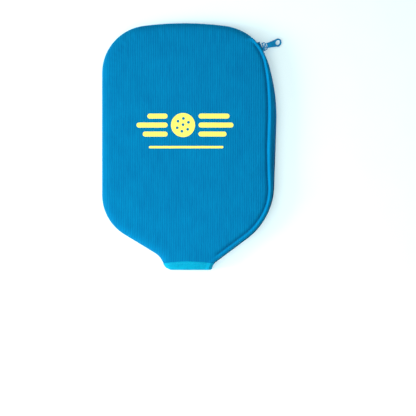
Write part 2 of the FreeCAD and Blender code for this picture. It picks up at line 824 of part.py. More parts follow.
doc.recompute()
faulty = [o.Name for o in doc.Objects if "Invalid" in o.State or "Error" in o.State]
if faulty:
    raise RuntimeError("not recomputed: " + ", ".join(faulty))
os.makedirs("parts", exist_ok=True)
for part in SUB_PARTS:
    shape = part.Shape
    if shape.isNull() or not shape.isValid() or shape.Volume <= 0:
        raise RuntimeError(part.Label + " has no valid shape")
    print(f"{part.Label:20s} solids {len(shape.Solids):3d}  volume {shape.Volume:10.1f}  "
          f"z {shape.BoundBox.ZMin:.2f}..{shape.BoundBox.ZMax:.2f}")
for part in SUB_PARTS:
    part.Shape.exportStep(f"parts/{part.Label}.step")
print("slider hinge", BULGE_CENTRE, "travel from", math.degrees(bulge_angle(size("slider_overrun"))))
print("slider place", SLIDER_PLACE, "fold way", FOLD_WAY)
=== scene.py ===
"""Looks of the paddle case: a zipped neoprene sleeve that lies on its back.

Metres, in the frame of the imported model: +Z up, +X towards the zipper, -Y towards the mouth.
Plans and profiles are written in millimetres and scaled by MM.
"""
import json
import math
from bisect import bisect_right
from itertools import product

import bmesh
import bpy
from mathutils import Matrix, Vector, geometry, kdtree, noise


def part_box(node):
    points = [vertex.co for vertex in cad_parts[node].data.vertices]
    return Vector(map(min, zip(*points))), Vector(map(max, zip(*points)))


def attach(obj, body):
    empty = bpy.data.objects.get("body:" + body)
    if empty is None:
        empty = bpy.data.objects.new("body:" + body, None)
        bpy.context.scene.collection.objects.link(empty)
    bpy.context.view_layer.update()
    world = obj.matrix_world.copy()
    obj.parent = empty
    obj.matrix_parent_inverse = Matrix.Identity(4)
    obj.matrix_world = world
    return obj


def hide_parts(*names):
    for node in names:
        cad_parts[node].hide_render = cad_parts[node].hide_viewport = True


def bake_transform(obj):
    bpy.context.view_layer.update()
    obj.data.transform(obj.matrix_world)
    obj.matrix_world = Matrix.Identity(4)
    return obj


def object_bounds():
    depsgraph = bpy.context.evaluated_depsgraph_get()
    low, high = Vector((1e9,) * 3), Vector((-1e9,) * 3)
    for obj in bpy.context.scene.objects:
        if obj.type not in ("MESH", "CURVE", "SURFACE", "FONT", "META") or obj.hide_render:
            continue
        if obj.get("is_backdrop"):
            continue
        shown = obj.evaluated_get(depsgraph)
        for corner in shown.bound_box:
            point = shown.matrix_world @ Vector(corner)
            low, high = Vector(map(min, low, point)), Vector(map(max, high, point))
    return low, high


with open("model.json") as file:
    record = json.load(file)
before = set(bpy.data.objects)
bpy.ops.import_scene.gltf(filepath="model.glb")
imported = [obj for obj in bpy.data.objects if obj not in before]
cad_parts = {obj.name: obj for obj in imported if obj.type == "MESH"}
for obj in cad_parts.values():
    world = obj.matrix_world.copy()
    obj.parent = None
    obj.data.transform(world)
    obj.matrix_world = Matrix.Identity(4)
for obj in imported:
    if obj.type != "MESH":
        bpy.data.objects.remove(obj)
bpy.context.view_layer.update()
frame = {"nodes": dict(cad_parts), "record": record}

MM = 0.001

# ---- places that the frame gives ----

JOINTS = {joint["name"]: joint for joint in frame["record"]["behaviour"]["joints"]}
MOUTH_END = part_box("mouth_band_back")[0].y
SIDE_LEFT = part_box("back_panel")[0].x
HINGE = Vector(JOINTS["slider_run"]["pos_m"])
BAR = Vector(JOINTS["pull_swing"]["pos_m"])
TRACK_RADIUS = 0.240
BAR_ANGLE = math.atan2(BAR.y - HINGE.y, BAR.x - HINGE.x)
STEP = Vector((80 * MM, 141 * MM))

# corners of the plan, clockwise from the mouth's left, with the radius that rounds each one
MOUTH_HALF = 31.0
OUTLINE = (
    (-MOUTH_HALF, -185.0, 0),
    (-MOUTH_HALF, -145.5, 24.0),
    (SIDE_LEFT / MM, -96.7, 60.0),
    (SIDE_LEFT / MM, 150.8, 62.0),
    (0.0, 162.6, 400.0),
    (93.0, 150.6, 68.0),
    (116.7, 68.8, 240.0),
    (111.2, -94.7, 88.0),
    (MOUTH_HALF, -154.7, 12.0),
    (MOUTH_HALF, -185.0, 0),
)
BULGE_CORNER = 6
RIM_SPACING = 2.6
TRACK_SPACING = 1.6
TRACK_OVERRUN = 33.3
TRACK_SLACK = 0.1
SHORTEST_LINE = 0.05

# ---- profiles: (distance in from the outline, height), from the rim to the flat of the panel ----

FRONT_SEAM = (
    (1.7, 12.1), (0.6, 12.7), (0, 14.2), (0.2, 16.4), (1, 18.7), (2.4, 20.8), (4.4, 22.4),
    (6.6, 23.4), (9.2, 24), (12, 24.3), (13.6, 24.4), (16.5, 24.5), (22, 24.7),
)
FRONT_ZIP = (
    (5.6, 16.3), (4.6, 16.6), (3.9, 17.6), (3.7, 19.2), (4, 21), (5, 22.7), (6.6, 24),
    (8.2, 24.8), (10.6, 24.1), (12.3, 21.9), (13.6, 23.5), (16.4, 24.3), (22, 24.7),
)
FRONT_SEAM_INNER = (
    (4, 12.1), (3.1, 13.6), (3, 15.5), (3.4, 17.6), (4.6, 19.4), (6.6, 20.7), (9.5, 21.3),
    (14, 21.6), (22, 21.7),
)
FRONT_ZIP_INNER = (
    (7.6, 16.4), (7.6, 17.6), (7.7, 18.8), (8.3, 20), (10, 20.5), (11.8, 19.5), (13.4, 20),
    (16.5, 20.9), (22, 21.6),
)
BACK_SEAM = (
    (1.7, 11.9), (0.6, 11.3), (0, 9.8), (0.2, 7.6), (1, 5.3), (2.4, 3.2), (4.4, 1.6),
    (6.6, 0.6), (9.2, 0.15), (12, 0), (13.6, 0), (16.5, 0), (22, 0),
)
BACK_ZIP = (
    (3.4, 7.9), (2.2, 7.9), (1, 7.5), (0.2, 6.6), (0, 5.4), (0.3, 4), (1.2, 2.5),
    (2.8, 1.1), (5.2, 0.3), (8.5, 0), (12, 0), (16.5, 0), (22, 0),
)
BACK_SEAM_INNER = (
    (4, 11.9), (3.1, 10.4), (3, 8.5), (3.4, 6.4), (4.6, 4.6), (6.6, 3.4), (9.5, 3),
    (14, 3), (22, 3),
)
BACK_ZIP_INNER = (
    (3.5, 7.3), (3.4, 6.4), (3.5, 5.4), (4, 4.4), (5.4, 3.6), (7.4, 3.2), (10, 3),
    (15, 3), (22, 3),
)
FLAT_INSET = 22.0
DITCH_RING = 9

# The roll beside the zipper, with distances along the outline from the zipper's upper end. The
# shares are of the profile's full width, of the ditch's full depth and of each ring's full painted
# light: painted highlight on the crest, painted shade in the ditch and beside the zipper.
STEP_LENGTH = 2.5
ROLL_START, ROLL_GROWTH = 0.15, 115.0
ROLL_WANE, ROLL_WANE_START, ROLL_WANE_LENGTH = 0.56, 145.0, 95.0
DITCH_GROWTH, DITCH_WANE, DITCH_END = 18.0, 14.0, 8.0
CREST_START, CREST_GROWTH = 0.25, 80.0
# painted shade in the recess beside the zipper: least near its upper end, most below the bulge
PAINTED_SHADE_LEAST, PAINTED_SHADE_MOST, PAINTED_SHADE_START, PAINTED_SHADE_GROWTH = 0.4, 2.1, 110.0, 70.0
# painted highlight on the roll's crest (rings 7 and 8) and painted shade in and beside its ditch (rings
# 9 and 10)
PAINTED_LIGHT_RINGS = {7: 0.25, 8: 1.0, 9: -0.75, 10: -0.45}
# share of the painted shade that each outer ring beside the zipper takes
SHADED_RINGS = {0: 1.0, 1: 1.0, 2: 1.0, 3: 1.0, 4: 0.7, 5: 0.3}

# the panels' dome, soft unevenness (size across and height) and puckers beside the stitching
DOME, DOME_REACH = 1.3, 32.0
BROAD_WAVE, BROAD_HEIGHT = 62, 0.75
FINE_WAVE, FINE_HEIGHT = 21, 0.22
WAVE_FADE_START, WAVE_FADE = 6, 20
PUCKER_PITCH, PUCKER_HEIGHT, PUCKER_INSET, PUCKER_REACH = 9.5, 0.28, 13.5, 5.0


# ---- the outline as samples ----


class Sample:
    """A point of a path, the way in from it and how far along the path it lies, in millimetres."""

    def __init__(self, point, inward, along=0.0):
        self.point = point
        self.inward = inward
        self.along = along

    def at(self, inset, height=0.0):
        """The place in metres at a distance in from the path and a height."""
        flat = (self.point + self.inward * inset) * MM
        return Vector((flat.x, flat.y, height * MM))


def corner_arc(previous, corner, following, radius):
    """Start, end, centre, turn of the arc that rounds a corner; a left turn is positive."""
    before = (corner - previous).normalized()
    after = (following - corner).normalized()
    turn = math.atan2(before.x * after.y - before.y * after.x, before.dot(after))
    reach = radius * math.tan(abs(turn) / 2)
    start = corner - before * reach
    side = Vector((before.y, -before.x)) * (-1 if turn > 0 else 1)
    return start, corner + after * reach, start + side * radius, turn


def measure(samples):
    """Writes each sample's distance along the path."""
    for before, after in zip(samples, samples[1:]):
        after.along = before.along + (after.point - before.point).length
    return samples


def sample_path(corners, spacing):
    """Samples along an open path of lines and tangent arcs."""
    points = [Vector(corner[:2]) for corner in corners]
    samples = []

    def add_line(start, end):
        way = (end - start).normalized()
        pieces = max(1, round((end - start).length / spacing))
        for i in range(pieces):
            samples.append(Sample(start.lerp(end, i / pieces), Vector((way.y, -way.x))))

    here = points[0]
    for i in range(1, len(points) - 1):
        start, end, centre, turn = corner_arc(points[i - 1], points[i], points[i + 1], corners[i][2])
        if (start - here).length > SHORTEST_LINE:
            add_line(here, start)
        pieces = max(4, round(abs(turn) * corners[i][2] / spacing))
        spoke = start - centre
        for k in range(pieces):
            turned = Matrix.Rotation(turn * k / pieces, 2) @ spoke
            inward = turned.normalized() * (1 if turn > 0 else -1)
            samples.append(Sample(centre + turned, inward))
        here = end
    add_line(here, points[-1])
    way = (points[-1] - here).normalized()
    samples.append(Sample(points[-1], Vector((way.y, -way.x))))
    return measure(samples)


def track_path(spacing, overrun):
    """The zipper's own line: the bulge's arc runs on past the corner that the panels turn."""
    around = [Vector(corner[:2]) for corner in OUTLINE[BULGE_CORNER - 1 : BULGE_CORNER + 2]]
    start, _, centre, _ = corner_arc(*around, OUTLINE[BULGE_CORNER][2])
    spoke = start - centre
    pieces = round(overrun / spacing)
    samples = []
    for k in range(pieces, 0, -1):
        turned = Matrix.Rotation(overrun * k / pieces / TRACK_RADIUS * MM, 2) @ spoke
        samples.append(Sample(centre + turned, -turned.normalized()))
    full = sample_path(OUTLINE, spacing)
    first = min(range(len(full)), key=lambda i: (full[i].point - start).length)
    last_y = MOUTH_END / MM - TRACK_SLACK
    samples += [sample for sample in full[first:] if sample.point.y > last_y]
    return measure(samples)


RIM = sample_path(OUTLINE, RIM_SPACING)
STEP_ALONG = min(RIM, key=lambda s: (s.point * MM - STEP).length).along
MOUTH_ALONG = max(s.along for s in RIM if s.point.y > MOUTH_END / MM)
RIM_TREE = kdtree.KDTree(len(RIM))
for index, sample in enumerate(RIM):
    RIM_TREE.insert((*sample.point, 0), index)
RIM_TREE.balance()


def smoothstep(value):
    value = min(1.0, max(0.0, value))
    return value * value * (3 - 2 * value)


def ditch_share(along):
    """0 where the stitched ditch hasn't started or has run out, 1 along the rest of the zipper."""
    end = MOUTH_ALONG - DITCH_END - along
    return smoothstep((along - STEP_ALONG) / DITCH_GROWTH) * smoothstep(end / DITCH_WANE)


def painted_light_share(along):
    """How strong the painted highlight on the roll's crest and the painted shade in its ditch are:
    little where the zipper starts.
    """
    grown = smoothstep((along - STEP_ALONG) / CREST_GROWTH)
    return ditch_share(along) * (CREST_START + (1 - CREST_START) * grown)


def filled(profile, along):
    """A front profile with its ditch as deep as it is there; the others have none to fill."""
    if len(profile) <= DITCH_RING + 1:
        return profile
    inset, height = profile[DITCH_RING]
    level = (profile[DITCH_RING - 1][1] + profile[DITCH_RING + 1][1]) / 2
    ditch = (inset, level + (height - level) * ditch_share(along))
    return list(profile[:DITCH_RING]) + [ditch] + list(profile[DITCH_RING + 1 :])


def narrowed(profile, along):
    """The roll is narrow where the zipper starts, widest at the bulge and narrower again below."""
    share = ROLL_START + (1 - ROLL_START) * smoothstep((along - STEP_ALONG) / ROLL_GROWTH)
    share -= ROLL_WANE * smoothstep((along - STEP_ALONG - ROLL_WANE_START) / ROLL_WANE_LENGTH)
    moved = []
    for inset, height in filled(profile, along):
        moved.append((inset * (share + (1 - share) * (inset / FLAT_INSET) ** 2), height))
    return moved


def painted_shade(along):
    """Strength of the painted shade on the cloth in the recess beside the zipper: more so below the
    bulge.
    """
    lower = smoothstep((along - STEP_ALONG - PAINTED_SHADE_START) / PAINTED_SHADE_GROWTH)
    return PAINTED_SHADE_LEAST + (PAINTED_SHADE_MOST - PAINTED_SHADE_LEAST) * lower


def zip_share(along):
    """0 beside the sewn seam, 1 beside the zipper."""
    return smoothstep((along - STEP_ALONG + STEP_LENGTH / 2) / STEP_LENGTH)


def depth_inside(x, y):
    """Distance in from the outline, in millimetres."""
    _, index, _ = RIM_TREE.find(Vector((x, y, 0)))
    sample = RIM[index]
    return (Vector((x, y)) - sample.point).dot(sample.inward)


def undulation(x, y):
    """Soft unevenness of an empty padded panel, in millimetres."""
    broad = noise.noise(Vector((x / BROAD_WAVE, y / BROAD_WAVE, 3.1)))
    fine = noise.noise(Vector((x / FINE_WAVE, y / FINE_WAVE, 7.7)))
    return BROAD_HEIGHT * broad + FINE_HEIGHT * fine


def pucker(along, inset):
    """Short ripples square to the stitching, fading away from it."""
    drift = 2.2 * noise.noise(Vector((along / 17, 0, 0)))
    ripple = math.sin(along * 2 * math.pi / PUCKER_PITCH + drift)
    return PUCKER_HEIGHT * ripple * math.exp(-((inset - PUCKER_INSET) / PUCKER_REACH) ** 2)


def panel_lift(x, y, inset):
    """Height added to a panel's flat: its dome and its unevenness."""
    fade = smoothstep((inset - WAVE_FADE_START) / WAVE_FADE)
    dome = DOME * (1 - math.exp(-max(0.0, inset - FLAT_INSET) / DOME_REACH))
    return dome + undulation(x, y) * fade


def front_height(x, y):
    """Top of the front panel inside its rim, in millimetres."""
    inset = depth_inside(x, y)
    return FRONT_SEAM[-1][1] + panel_lift(x, y, inset)


def mixed(seam, zipped, share):
    """A profile between the sewn seam's and the zipper's."""
    return [tuple(p * (1 - share) + q * share for p, q in zip(a, b)) for a, b in zip(seam, zipped)]


def offset_profile(profile, distance):
    """A profile moved square to itself, to its inner side."""
    moved = []
    for i, (inset, height) in enumerate(profile):
        before = profile[max(0, i - 1)]
        after = profile[min(len(profile) - 1, i + 1)]
        way = Vector((after[0] - before[0], after[1] - before[1])).normalized()
        side = Vector((way.y, -way.x)) if profile[-1][1] > profile[0][1] else Vector((-way.y, way.x))
        moved.append((inset + side.x * distance, height + side.y * distance))
    return moved


# ---- meshes ----

GRID_ACROSS = 3.0
GRID_ALONG = 4.0
GRID_MARGIN = 2.0


def smooth(mesh, angle):
    """Smooth shading, with edges sharp past an angle in degrees."""
    for face in mesh.polygons:
        face.use_smooth = True
    mesh.set_sharp_from_angle(angle=math.radians(angle))


def add_object(name, data):
    made = bpy.data.objects.new(name, data)
    bpy.context.scene.collection.objects.link(made)
    return made


def evaluated_mesh(piece):
    """The mesh that a piece's modifiers or its curve make."""
    bpy.context.view_layer.update()
    depsgraph = bpy.context.evaluated_depsgraph_get()
    return bpy.data.meshes.new_from_object(piece.evaluated_get(depsgraph))


def new_object(name, bm, smooth_angle=40):
    """A piece of the scene from a bmesh, with its normals outwards."""
    mesh = bpy.data.meshes.new(name)
    bmesh.ops.recalc_face_normals(bm, faces=bm.faces)
    bm.to_mesh(mesh)
    bm.free()
    smooth(mesh, smooth_angle)
    return add_object(name, mesh)


def extent(points):
    """Least and most x, then least and most y."""
    across, along = [p.x for p in points], [p.y for p in points]
    return min(across), max(across), min(along), max(along)


def ring_edges(first, count):
    return [(first + i, first + (i + 1) % count) for i in range(count)]


def arc_points(centre, radius_x, radius_y, first, last, count):
    """Flat points along an arc of an oval, in as many steps as count."""
    angles = [first + (last - first) * k / count for k in range(count + 1)]
    return [Vector(centre) + Vector((radius_x * math.cos(a), radius_y * math.sin(a))) for a in angles]


def oval(centre, radius_x, radius_y, count):
    """Flat points round a closed oval."""
    last = 2 * math.pi * (count - 1) / count
    return arc_points(centre, radius_x, radius_y, 0, last, count - 1)


def interior(ring):
    """Triangles that fill a ring of flat points, over a grid of inner points."""
    points = list(ring)
    count = len(points)
    low_x, high_x, low_y, high_y = extent(points)
    rows = int((high_y - low_y) / GRID_ALONG)
    columns = int((high_x - low_x) / GRID_ACROSS)
    for row, column in product(range(1, rows), range(1, columns)):
        x = low_x + column * GRID_ACROSS
        y = low_y + row * GRID_ALONG
        if depth_inside(x, y) > FLAT_INSET + GRID_MARGIN:
            points.append(Vector((x, y)))
    edges = ring_edges(0, count)
    verts, _, faces = geometry.delaunay_2d_cdt(points, edges, [list(range(count))], 1, 1e-4)[:3]
    return verts, faces, count


def ring_painted_light(ring, along, lifted):
    """Painted highlight (above 0) and painted shade (below 0) on the cloth at a ring of a panel's outer
    profile.
    """
    crest = PAINTED_LIGHT_RINGS.get(ring, 0.0) * painted_light_share(along) if lifted else 0.0
    return crest - SHADED_RINGS.get(ring, 0.0) * zip_share(along) * painted_shade(along)


def shell(outer, inner, lift):
    """A closed cloth shell between two surfaces, each a (seam profile, zipper profile) pair."""
    bm = bmesh.new()
    cloth = bm.verts.layers.float_vector.new("cloth")
    painted_light = bm.verts.layers.float.new("painted_light")
    layers = []
    for seam, zipped in (outer, inner):
        rings = []
        for sample in RIM:
            profile = mixed(seam, narrowed(zipped, sample.along), zip_share(sample.along))
            lengths = [0.0]
            for a, b in zip(profile[::-1], profile[-2::-1]):
                lengths.append(lengths[-1] + math.dist(a, b))
            lengths.reverse()
            column = []
            for k, (inset, height) in enumerate(profile):
                place = sample.at(inset, height)
                if lift:
                    raised = panel_lift(place.x / MM, place.y / MM, inset)
                    place.z += lift * MM * (raised + pucker(sample.along, inset))
                vert = bm.verts.new(place)
                vert[cloth] = sample.at(FLAT_INSET - lengths[k])
                if len(profile) > DITCH_RING + 1:
                    # painted highlight and painted shade, stored per vertex for the knit's colour
                    vert[painted_light] = ring_painted_light(k, sample.along, lift)
                column.append(vert)
            rings.append(column)
        for left, right in zip(rings, rings[1:]):
            for k in range(len(left) - 1):
                bm.faces.new((left[k], left[k + 1], right[k + 1], right[k]))
        made = [column[-1] for column in rings]
        verts, faces, count = interior([vert.co.xy / MM for vert in made])
        level = seam[-1][1]
        for point in verts[count:]:
            height = level + lift * panel_lift(point.x, point.y, depth_inside(point.x, point.y))
            vert = bm.verts.new((point.x * MM, point.y * MM, height * MM))
            vert[cloth] = (point.x * MM, point.y * MM, 0)
            made.append(vert)
        for face in faces:
            bm.faces.new([made[i] for i in face])
        layers.append(rings)
    for (left_out, left_in), (right_out, right_in) in zip(zip(*layers), list(zip(*layers))[1:]):
        bm.faces.new((left_out[0], left_in[0], right_in[0], right_out[0]))
    return bm


def cut_flat(bm, point, keep):
    """Cuts a shell by an upright plane, keeps the side that keep points to and closes the cut."""
    result = bmesh.ops.bisect_plane(
        bm, geom=bm.verts[:] + bm.edges[:] + bm.faces[:], dist=1e-7,
        plane_co=(*point, 0), plane_no=(*keep, 0), clear_inner=True
    )
    edges = [item for item in result["geom_cut"] if isinstance(item, bmesh.types.BMEdge)]
    if edges:
        closing = bmesh.ops.contextual_create(bm, geom=edges)
        bmesh.ops.triangulate(bm, faces=closing["faces"])


def skin(bm, rings):
    """Faces between closed rings of points."""
    for lower, upper in zip(rings, rings[1:]):
        for k in range(len(lower)):
            after = (k + 1) % len(lower)
            bm.faces.new((lower[k], lower[after], upper[after], upper[k]))


def tube(bm, points, radius, sides=6):
    """A tube along points, with closed ends and its rings square to the way it runs."""
    rings = []
    up = Vector((0, 0, 1))
    for i, point in enumerate(points):
        way = (points[min(i + 1, len(points) - 1)] - points[max(i - 1, 0)]).normalized()
        side = way.cross(up)
        side = side.normalized() if side.length > 1e-3 else Vector((1, 0, 0))
        top = side.cross(way).normalized()
        thick = radius[i] if isinstance(radius, list) else radius
        rings.append([
            bm.verts.new(point + (side * math.cos(a) + top * math.sin(a)) * thick)
            for a in (2 * math.pi * k / sides for k in range(sides))
        ])
    skin(bm, rings)
    bm.faces.new(rings[0][::-1])
    bm.faces.new(rings[-1])


def sweep(bm, loop, samples):
    """A closed loop of (inset, height) points run along samples, with closed ends."""
    cloth = bm.verts.layers.float_vector.new("cloth")
    rings = []
    around = [0.0]
    for a, b in zip(loop, loop[1:]):
        around.append(around[-1] + math.dist(a, b))
    for sample in samples:
        ring = []
        for (inset, height), distance in zip(loop, around):
            vert = bm.verts.new(sample.at(inset, height))
            vert[cloth] = (distance * MM, sample.along * MM, 0)
            ring.append(vert)
        rings.append(ring)
    skin(bm, rings)
    for end in (rings[0][::-1], rings[-1]):
        bmesh.ops.triangulate(bm, faces=[bm.faces.new(end)])


# ---- materials ----


class Shader:
    """A principled material and short ways to add nodes to it."""

    def __init__(self, name, roughness, **constants):
        self.material = bpy.data.materials.new(name)
        self.material.use_nodes = True
        self.tree = self.material.node_tree
        self.surface = self.tree.nodes["Principled BSDF"]
        self.surface.inputs["Roughness"].default_value = roughness
        for socket, value in constants.items():
            self.surface.inputs[socket.replace("_", " ")].default_value = value

    def node(self, kind, **sockets):
        """A node with its inputs set or linked, by name or as i0, i1 by number."""
        made = self.tree.nodes.new(kind)
        for socket, value in sockets.items():
            numbered = socket[0] == "i" and socket[1:].isdigit()
            target = made.inputs[int(socket[1:]) if numbered else socket]
            if hasattr(value, "is_output"):
                self.tree.links.new(value, target)
            else:
                target.default_value = value
        return made

    def math(self, operation, first, second=0.0):
        made = self.node("ShaderNodeMath", i0=first, i1=second)
        made.operation = operation
        return made.outputs[0]

    def sum_of(self, *parts):
        """The sum of sockets, each times its share."""
        total = None
        for socket, share in parts:
            part = self.math("MULTIPLY", socket, share)
            total = part if total is None else self.math("ADD", total, part)
        return total

    def attribute(self, name, output):
        made = self.node("ShaderNodeAttribute")
        made.attribute_name = name
        return made.outputs[output]

    def in_mm(self, vector):
        """A vector socket in millimetres, whole and as separate sockets."""
        scaled = self.node("ShaderNodeVectorMath", i0=vector, i1=(1000, 1000, 1000))
        scaled.operation = "MULTIPLY"
        split = self.node("ShaderNodeSeparateXYZ", Vector=scaled.outputs[0])
        return scaled.outputs[0], split.outputs

    def cloth(self):
        """The flat cloth coordinates of a piece: together, across and along."""
        vector, split = self.in_mm(self.attribute("cloth", "Vector"))
        return vector, split[0], split[1]

    def object_mm(self):
        """The object's own coordinates: together and apart."""
        return self.in_mm(self.tree.nodes.new("ShaderNodeTexCoord").outputs["Object"])

    def noise(self, vector, scale, detail=3.0):
        return self.node("ShaderNodeTexNoise", Vector=vector, Scale=scale, Detail=detail).outputs["Fac"]

    def ramp(self, factor, dark, light, low=0.0, high=1.0):
        made = self.node("ShaderNodeValToRGB", Fac=factor)
        for index, (place, colour) in enumerate(((low, dark), (high, light))):
            made.color_ramp.elements[index].position = place
            made.color_ramp.elements[index].color = (*colour, 1)
        return made.outputs["Color"]

    def colour(self, socket):
        self.tree.links.new(socket, self.surface.inputs["Base Color"])

    def bump(self, height, distance):
        made = self.node("ShaderNodeBump", Height=height, Distance=distance)
        self.tree.links.new(made.outputs[0], self.surface.inputs["Normal"])

    def vary_roughness(self, factor, low, high):
        made = self.node("ShaderNodeMapRange", Value=factor, **{"To Min": low, "To Max": high})
        self.tree.links.new(made.outputs[0], self.surface.inputs["Roughness"])


SHEEN = (0.0, 0.57, 1.0, 1)
# how strongly the painted highlight and painted shade change the knit's colour
PAINTED_LIGHT_STRENGTH = 0.42
WALE = 2.3
COURSE = 1.7


def wave(shader, value, pitch):
    """0..1..0 across each pitch, rounded like a knitted wale."""
    turns = shader.math("FRACT", shader.math("DIVIDE", value, pitch))
    return shader.math("SINE", shader.math("MULTIPLY", turns, math.pi))


def knit(name, dark, light, roughness, depth):
    """Ribbed knit: wales along the cloth's length, each a column of slanted stitches, brightened by
    painted highlight and darkened by painted shade from a vertex attribute.
    """
    shader = Shader(
        name, roughness, Sheen_Weight=1.0, Sheen_Roughness=0.3, Sheen_Tint=SHEEN,
        Specular_IOR_Level=0.03,
    )
    vector, across, along = shader.cloth()
    drift = shader.math("SUBTRACT", shader.noise(vector, 0.06, 1.0), 0.5)
    across = shader.math("ADD", across, shader.math("MULTIPLY", drift, 0.9))
    rib = wave(shader, across, WALE)
    part_way = shader.math("FRACT", shader.math("DIVIDE", across, WALE))
    slope = shader.math("ABSOLUTE", shader.math("SUBTRACT", part_way, 0.5))
    slant = shader.math("MULTIPLY", slope, COURSE * 1.4)
    stitch = wave(shader, shader.math("ADD", along, slant), COURSE)
    fuzz = shader.noise(vector, 2.6, 4.0)
    height = shader.sum_of((rib, 0.72), (stitch, 0.28), (fuzz, 0.25))
    patch = shader.noise(vector, 0.035, 2.0)
    streak_x = shader.math("MULTIPLY", across, 0.42)
    streak_y = shader.math("MULTIPLY", along, 0.045)
    stretched = shader.node("ShaderNodeCombineXYZ", X=streak_x, Y=streak_y)
    streak = shader.noise(stretched.outputs[0], 1.0, 2.0)
    tone = shader.sum_of((height, 0.45), (patch, 0.25), (streak, 0.30))
    # painted highlight and painted shade: the colour is multiplied by one plus the per-vertex value
    # times its strength
    painted_light = shader.math("MULTIPLY", shader.attribute("painted_light", "Fac"), PAINTED_LIGHT_STRENGTH)
    value = shader.math("ADD", painted_light, 1.0)
    base = shader.ramp(tone, dark, light, 0.26, 0.84)
    shader.colour(shader.node("ShaderNodeHueSaturation", Color=base, Value=value).outputs[0])
    shader.vary_roughness(fuzz, roughness - 0.08, roughness + 0.1)
    shader.bump(height, depth)
    return shader.material


def plain_knit(name, dark, light, grain, depth, roughness=0.8):
    """A smooth elastic knit with a fine pebbled face."""
    shader = Shader(name, roughness, Sheen_Weight=0.5, Sheen_Tint=SHEEN, Specular_IOR_Level=0.06)
    vector, _, _ = shader.cloth()
    cells = shader.node("ShaderNodeTexVoronoi", Vector=vector, Scale=1.0 / grain)
    pebble = shader.math("SUBTRACT", 1.0, cells.outputs["Distance"])
    fuzz = shader.noise(vector, 3.0, 3.0)
    height = shader.sum_of((pebble, 0.7), (fuzz, 0.3))
    patch = shader.noise(vector, 0.09, 2.0)
    tone = shader.sum_of((height, 0.6), (patch, 0.4))
    shader.colour(shader.ramp(tone, dark, light, 0.2, 0.85))
    shader.vary_roughness(fuzz, roughness - 0.08, roughness + 0.08)
    shader.bump(height, depth)
    return shader.material


def woven(name, dark, light, thread):
    """Narrow tape: warp along it and weft across it, in a plain weave."""
    shader = Shader(name, 0.75, Sheen_Weight=0.3, Sheen_Tint=SHEEN, Specular_IOR_Level=0.06)
    vector, across, along = shader.cloth()
    warp = wave(shader, across, thread)
    weft = wave(shader, along, thread * 1.3)
    checks = shader.math("MULTIPLY", warp, weft)
    fuzz = shader.noise(vector, 3.4, 2.0)
    height = shader.math("ADD", checks, shader.math("MULTIPLY", fuzz, 0.3))
    shader.colour(shader.ramp(height, dark, light, 0.05, 1.1))
    shader.vary_roughness(fuzz, 0.65, 0.85)
    shader.bump(height, 0.00015)
    return shader.material


def moulded(name, dark, light, roughness):
    """Nylon with faint draw marks."""
    shader = Shader(name, roughness, Specular_IOR_Level=0.18)
    vector, _ = shader.object_mm()
    mottle = shader.noise(vector, 0.8, 3.0)
    grain = shader.noise(vector, 6.0, 2.0)
    shader.colour(shader.ramp(mottle, dark, light, 0.25, 0.75))
    shader.vary_roughness(grain, roughness - 0.07, roughness + 0.12)
    shader.bump(grain, 0.00003)
    return shader.material


def painted(name, dark, light, edge):
    """Satin paint on cast metal: orange peel, a slight mottle and paler worn edges."""
    shader = Shader(name, 0.42, Coat_Weight=0.06, Coat_Roughness=0.3, Specular_IOR_Level=0.14)
    vector, _ = shader.object_mm()
    mottle = shader.noise(vector, 0.5, 3.0)
    peel = shader.noise(vector, 2.4, 2.0)
    pointed = shader.tree.nodes.new("ShaderNodeNewGeometry").outputs["Pointiness"]
    worn = shader.math("MULTIPLY", shader.math("SUBTRACT", pointed, 0.53), 9.0)
    base = shader.ramp(mottle, dark, light, 0.3, 0.7)
    mix = shader.node("ShaderNodeMix")
    mix.data_type = "RGBA"
    mix.clamp_factor = True
    shader.tree.links.new(worn, mix.inputs["Factor"])
    shader.tree.links.new(base, mix.inputs[6])
    mix.inputs[7].default_value = (*edge, 1)
    shader.colour(mix.outputs[2])
    shader.vary_roughness(mottle, 0.3, 0.46)
    shader.bump(peel, 0.00004)
    return shader.material


def printed(name, dark, light):
    """Heat-transfer film: thin, a little glossy, taking the ribs of the cloth beneath."""
    shader = Shader(name, 0.5, Specular_IOR_Level=0.4)
    vector, split = shader.object_mm()
    rib = wave(shader, split[0], WALE)
    crackle = shader.noise(vector, 0.9, 4.0)
    height = shader.sum_of((rib, 0.6), (crackle, 0.4))
    shader.colour(shader.ramp(height, dark, light, 0.1, 0.9))
    shader.vary_roughness(crackle, 0.42, 0.62)
    shader.bump(height, 0.00012)
    return shader.material


PANEL_KNIT = knit("panel_knit", (0, 0.10, 0.275), (0, 0.215, 0.437), 0.78, 0.00042)
LINING_KNIT = plain_knit("lining_knit", (0, 0.07, 0.2), (0.002, 0.13, 0.33), 0.9, 0.0002)
BINDING_KNIT = plain_knit("binding_knit", (0, 0.24, 0.42), (0, 0.41, 0.60), 1.3, 0.0003, 0.75)
TAPE_WEAVE = woven("tape_weave", (0, 0.08, 0.28), (0, 0.17, 0.44), 0.45)
COIL_NYLON = moulded("coil_nylon", (0, 0.13, 0.34), (0, 0.24, 0.48), 0.5)
STITCH_THREAD = moulded("stitch_thread", (0, 0.10, 0.30), (0, 0.20, 0.44), 0.6)
BAND_THREAD = moulded("band_thread", (0, 0.34, 0.56), (0, 0.46, 0.68), 0.6)
SLIDER_PAINT = painted("slider_paint", (0, 0.165, 0.39), (0, 0.235, 0.49), (0, 0.34, 0.60))
PRINT_FILM = printed("print_film", (0.80, 0.74, 0.06), (0.96, 0.92, 0.16))


def dress(piece, material):
    """Gives a piece its material."""
    piece.data.materials.clear()
    piece.data.materials.append(material)
    return piece


def blend_flap(piece):
    """Bakes the piece's placement into its mesh."""
    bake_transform(piece)


# ---- camera and light ----

